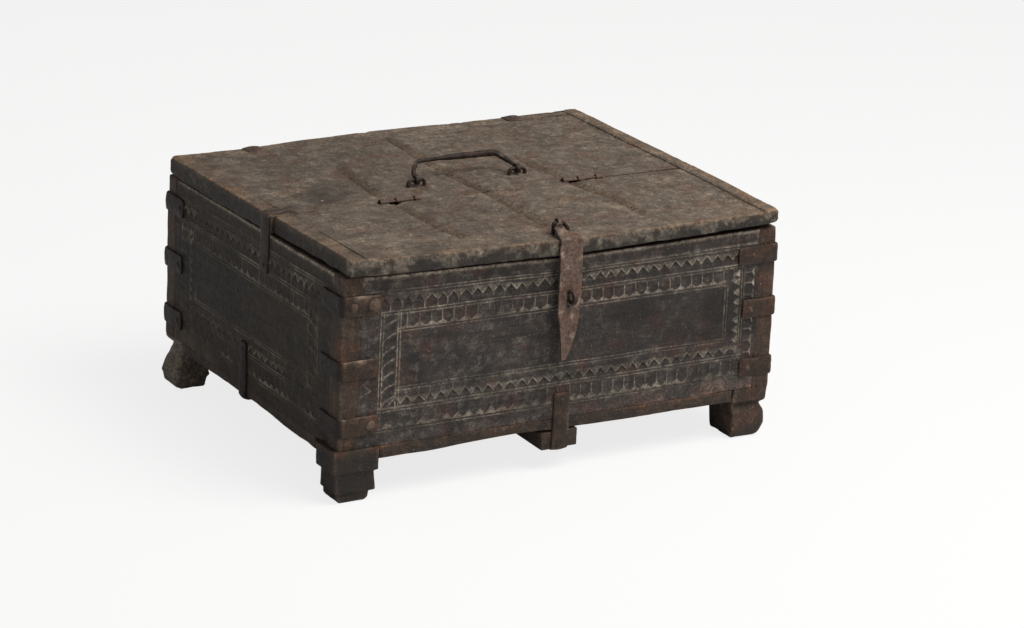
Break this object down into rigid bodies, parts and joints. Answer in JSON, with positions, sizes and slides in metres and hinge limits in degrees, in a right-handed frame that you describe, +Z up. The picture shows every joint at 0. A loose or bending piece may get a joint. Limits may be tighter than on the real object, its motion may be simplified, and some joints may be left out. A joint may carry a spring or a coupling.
{
  "type": "chest",
  "caption": "Small carved wooden damchiya chest on feet, with iron straps, a front flap in its top, a hasp and a bail handle.",
  "frame": {"origin": "on the floor, under the middle of the whole chest's bounding box", "axes": "+X to the right along the front, +Y from the front to the back, +Z up"},
  "size_m": [0.487, 0.4138, 0.2632],
  "materials": {
    "carved_wood": "aged, dusty, carved",
    "top_wood": "aged, dusty, worn",
    "post_wood": "aged, worn",
    "base_wood": "aged, rough",
    "iron": "forged, rusted"
  },
  "bodies": {
    "case": {"back_board": "carved_wood", "back_strap_left": "iron", "back_strap_right": "iron", "bottom_board": "base_wood", "bottom_strap_back": "iron", "bottom_strap_front": "iron", "bottom_strap_left": "iron", "bottom_strap_right": "iron", "centre_runner": "base_wood", "corner_strap_back_left_high": "iron", "corner_strap_back_left_low": "iron", "corner_strap_back_left_mid": "iron", "corner_strap_back_right_high": "iron", "corner_strap_back_right_low": "iron", "corner_strap_back_right_mid": "iron", "corner_strap_front_left_high": "iron", "corner_strap_front_left_low": "iron", "corner_strap_front_left_mid": "iron", "corner_strap_front_right_high": "iron", "corner_strap_front_right_low": "iron", "corner_strap_front_right_mid": "iron", "corner_strap_nails": "iron", "cross_rail": "base_wood", "edge_strap_left": "iron", "front_board": "carved_wood", "handle_staple_left": "iron", "handle_staple_right": "iron", "hinge_fixed_eyes_left": "iron", "hinge_fixed_eyes_right": "iron", "hinge_pin_left": "iron", "hinge_pin_right": "iron", "left_board": "carved_wood", "lock_staple": "iron", "middle_strap_nails": "iron", "post_back_left": "post_wood", "post_back_right": "post_wood", "post_front_left": "post_wood", "post_front_right": "post_wood", "rear_back_strip": "top_wood", "rear_left_cleat": "top_wood", "rear_right_cleat": "top_wood", "rear_top": "top_wood", "right_board": "carved_wood"},
    "flap": {"flap_board": "top_wood", "flap_left_cleat": "top_wood", "flap_right_cleat": "top_wood", "hasp_staple": "iron", "hinge_flap_eye_left": "iron", "hinge_flap_eye_right": "iron"},
    "handle": {"bail_handle": "iron"},
    "hasp": {"hasp": "iron"}
  },
  "joints": [
    {"name": "flap_hinge", "type": "hinge", "parent": "case", "child": "flap", "pos_m": [0, -0.0317, 0.242], "axis": [-1, 0, 0], "range_deg": [0, 120]},
    {"name": "hasp_swing", "type": "hinge", "parent": "flap", "child": "hasp", "pos_m": [-0.0015, -0.1727, 0.248], "axis": [-1, 0, 0], "range_deg": [0, 180]},
    {"name": "handle_swing", "type": "hinge", "parent": "case", "child": "handle", "pos_m": [-0.004, 0.0083, 0.248], "axis": [1, 0, 0], "range_deg": [-31, 157]}
  ],
  "couplings": [
    {"joint": "hasp_swing", "follows": "flap_hinge", "ratio": 1.5}
  ]
}
